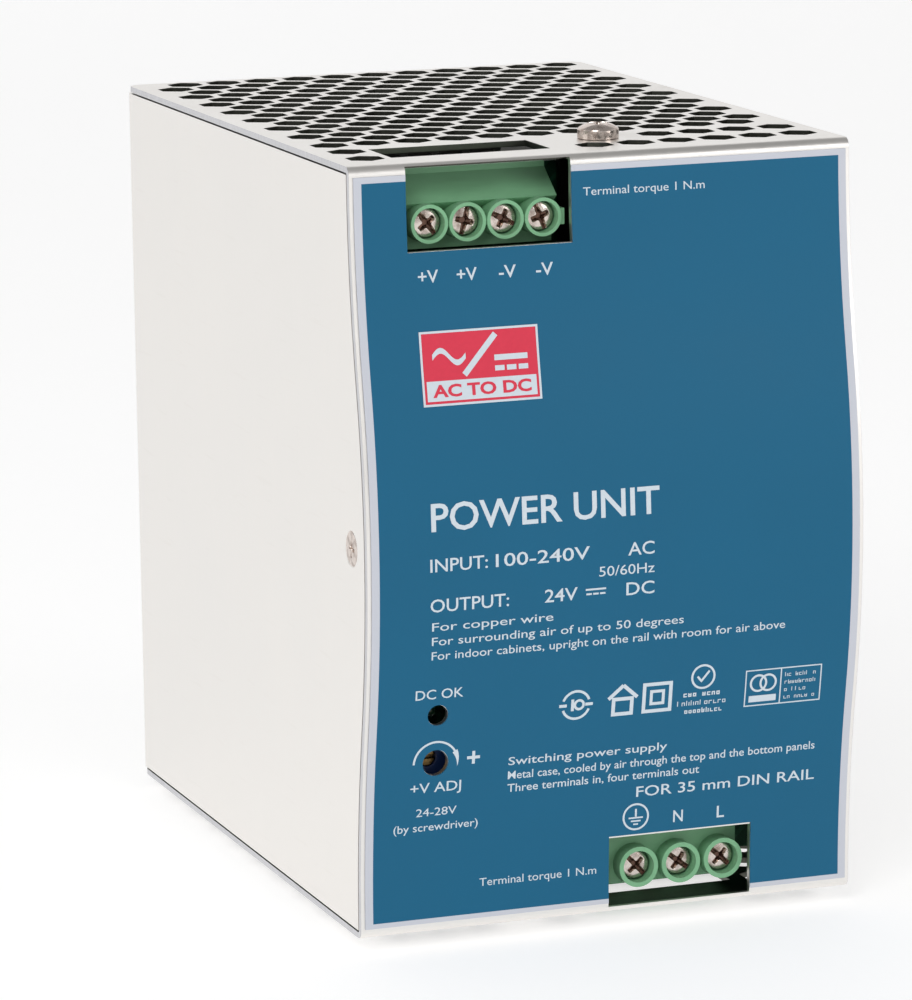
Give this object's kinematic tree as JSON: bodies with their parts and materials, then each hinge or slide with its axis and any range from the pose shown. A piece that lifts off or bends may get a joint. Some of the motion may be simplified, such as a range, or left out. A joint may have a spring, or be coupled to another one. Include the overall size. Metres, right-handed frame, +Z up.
{
  "type": "din rail power supply",
  "caption": "Slim metal cased power supply for a 35 mm rail, curved front, hexagonal vents, recessed screw terminals and a sprung rail latch.",
  "frame": {"origin": "centre of the rail seat: on the clip plate's rear face, at the middle of the rail's height and of the case's width", "axes": "+Y out of the back towards the rail and wall, -Y out of the curved front, +Z up, +X to the right seen from the front"},
  "size_m": [0.0856, 0.1364, 0.1308],
  "materials": {
    "case_sheet": "satin plated sheet",
    "label_film": "printed polyester film, satin",
    "screw_nickel": "nickel plated",
    "green_nylon": "moulded, satin",
    "clamp_steel": "zinc plated",
    "tinned_copper": "tin plated copper",
    "board_epoxy": "solder masked glass epoxy",
    "ferrite": "sintered, dull",
    "copper_wire": "enamelled copper",
    "yellow_tape": "polyester tape",
    "black_moulding": "moulded, dull",
    "capacitor_sleeve": "shrink sleeve, glossy",
    "sink_aluminium": "mill finish",
    "film_case": "moulded box",
    "disc_lacquer": "lacquered disc",
    "fuse_ceramic": "white ceramic",
    "insulation_film": "fibre sheet",
    "trimmer_blue": "moulded, satin",
    "rotor_brass": "turned brass",
    "lamp_green": "tinted clear resin",
    "clip_steel": "zinc plated",
    "latch_nylon": "glass filled nylon",
    "spring_steel": "spring wire"
  },
  "bodies": {
    "case": {"board_brackets": "case_sheet", "board_link": "black_moulding", "board_screws": "screw_nickel", "boost_choke_core": "ferrite", "boost_choke_winding": "copper_wire", "bulk_capacitors": "capacitor_sleeve", "case_screws": "screw_nickel", "chassis": "case_sheet", "clip_rivets": "clip_steel", "control_board": "board_epoxy", "cover": "case_sheet", "disc_capacitors": "disc_lacquer", "film_capacitors": "film_case", "filter_choke_cores": "ferrite", "filter_choke_windings": "copper_wire", "front_board": "board_epoxy", "front_ears": "case_sheet", "front_label": "label_film", "fuse": "fuse_ceramic", "input_block": "green_nylon", "input_contacts": "tinned_copper", "insulation_sheet": "insulation_film", "latch_spring": "spring_steel", "main_board": "board_epoxy", "output_block": "green_nylon", "output_capacitors": "capacitor_sleeve", "output_choke_core": "ferrite", "output_choke_winding": "copper_wire", "output_contacts": "tinned_copper", "power_transistors": "black_moulding", "primary_heat_sink": "sink_aluminium", "rail_clip": "clip_steel", "rectifier_diodes": "black_moulding", "secondary_heat_sink": "sink_aluminium", "side_screws": "screw_nickel", "signal_board": "board_epoxy", "signal_posts": "black_moulding", "standoffs": "rotor_brass", "status_lamp": "lamp_green", "surge_parts": "disc_lacquer", "transformer_bobbin": "black_moulding", "transformer_coil": "yellow_tape", "transformer_core": "ferrite", "trimmer_body": "trimmer_blue"},
    "input_clamp_1": {"input_clamp_1": "clamp_steel"},
    "input_clamp_2": {"input_clamp_2": "clamp_steel"},
    "input_clamp_3": {"input_clamp_3": "clamp_steel"},
    "input_screw_1": {"input_screw_1": "screw_nickel"},
    "input_screw_2": {"input_screw_2": "screw_nickel"},
    "input_screw_3": {"input_screw_3": "screw_nickel"},
    "output_clamp_1": {"output_clamp_1": "clamp_steel"},
    "output_clamp_2": {"output_clamp_2": "clamp_steel"},
    "output_clamp_3": {"output_clamp_3": "clamp_steel"},
    "output_clamp_4": {"output_clamp_4": "clamp_steel"},
    "output_screw_1": {"output_screw_1": "screw_nickel"},
    "output_screw_2": {"output_screw_2": "screw_nickel"},
    "output_screw_3": {"output_screw_3": "screw_nickel"},
    "output_screw_4": {"output_screw_4": "screw_nickel"},
    "latch": {"rail_latch": "latch_nylon"},
    "rotor": {"trimmer_rotor": "rotor_brass"}
  },
  "joints": [
    {"name": "latch_slide", "type": "slide", "parent": "case", "child": "latch", "axis": [0, 0, -1], "range_m": [0, 0.004], "stiffness_N_per_m": 1200, "springref_m": -0.005, "deforming": ["latch_spring"]},
    {"name": "trimmer_turn", "type": "hinge", "parent": "case", "child": "rotor", "pos_m": [-0.0305, -0.1226, -0.03555], "axis": [0, 1, 0], "range_deg": [-135, 135]},
    {"name": "output_clamp_1_rise", "type": "slide", "parent": "case", "child": "output_clamp_1", "axis": [0, -1, 0], "range_m": [0, 0.0036]},
    {"name": "output_screw_1_turn", "type": "hinge", "parent": "case", "child": "output_screw_1", "pos_m": [-0.02885, -0.1196, 0.0509], "axis": [0, 1, 0], "range_deg": [0, 2880]},
    {"name": "output_clamp_2_rise", "type": "slide", "parent": "case", "child": "output_clamp_2", "axis": [0, -1, 0], "range_m": [0, 0.0036]},
    {"name": "output_screw_2_turn", "type": "hinge", "parent": "case", "child": "output_screw_2", "pos_m": [-0.02245, -0.1196, 0.0509], "axis": [0, 1, 0], "range_deg": [0, 2880]},
    {"name": "output_clamp_3_rise", "type": "slide", "parent": "case", "child": "output_clamp_3", "axis": [0, -1, 0], "range_m": [0, 0.0036]},
    {"name": "output_screw_3_turn", "type": "hinge", "parent": "case", "child": "output_screw_3", "pos_m": [-0.01605, -0.1196, 0.0509], "axis": [0, 1, 0], "range_deg": [0, 2880]},
    {"name": "output_clamp_4_rise", "type": "slide", "parent": "case", "child": "output_clamp_4", "axis": [0, -1, 0], "range_m": [0, 0.0036]},
    {"name": "output_screw_4_turn", "type": "hinge", "parent": "case", "child": "output_screw_4", "pos_m": [-0.00965, -0.1196, 0.0509], "axis": [0, 1, 0], "range_deg": [0, 2880]},
    {"name": "input_clamp_1_rise", "type": "slide", "parent": "case", "child": "input_clamp_1", "axis": [0, -1, 0], "range_m": [0, 0.0036]},
    {"name": "input_screw_1_turn", "type": "hinge", "parent": "case", "child": "input_screw_1", "pos_m": [0.006, -0.1196, -0.0575], "axis": [0, 1, 0], "range_deg": [0, 2592]},
    {"name": "input_clamp_2_rise", "type": "slide", "parent": "case", "child": "input_clamp_2", "axis": [0, -1, 0], "range_m": [0, 0.0036]},
    {"name": "input_screw_2_turn", "type": "hinge", "parent": "case", "child": "input_screw_2", "pos_m": [0.01345, -0.1196, -0.0575], "axis": [0, 1, 0], "range_deg": [0, 2592]},
    {"name": "input_clamp_3_rise", "type": "slide", "parent": "case", "child": "input_clamp_3", "axis": [0, -1, 0], "range_m": [0, 0.0036]},
    {"name": "input_screw_3_turn", "type": "hinge", "parent": "case", "child": "input_screw_3", "pos_m": [0.0209, -0.1196, -0.0575], "axis": [0, 1, 0], "range_deg": [0, 2592]}
  ],
  "couplings": [
    {"joint": "output_screw_1_turn", "follows": "output_clamp_1_rise", "rad_per_m": 13961},
    {"joint": "output_screw_2_turn", "follows": "output_clamp_2_rise", "rad_per_m": 13961},
    {"joint": "output_screw_3_turn", "follows": "output_clamp_3_rise", "rad_per_m": 13961},
    {"joint": "output_screw_4_turn", "follows": "output_clamp_4_rise", "rad_per_m": 13961},
    {"joint": "input_screw_1_turn", "follows": "input_clamp_1_rise", "rad_per_m": 12565},
    {"joint": "input_screw_2_turn", "follows": "input_clamp_2_rise", "rad_per_m": 12565},
    {"joint": "input_screw_3_turn", "follows": "input_clamp_3_rise", "rad_per_m": 12565}
  ]
}
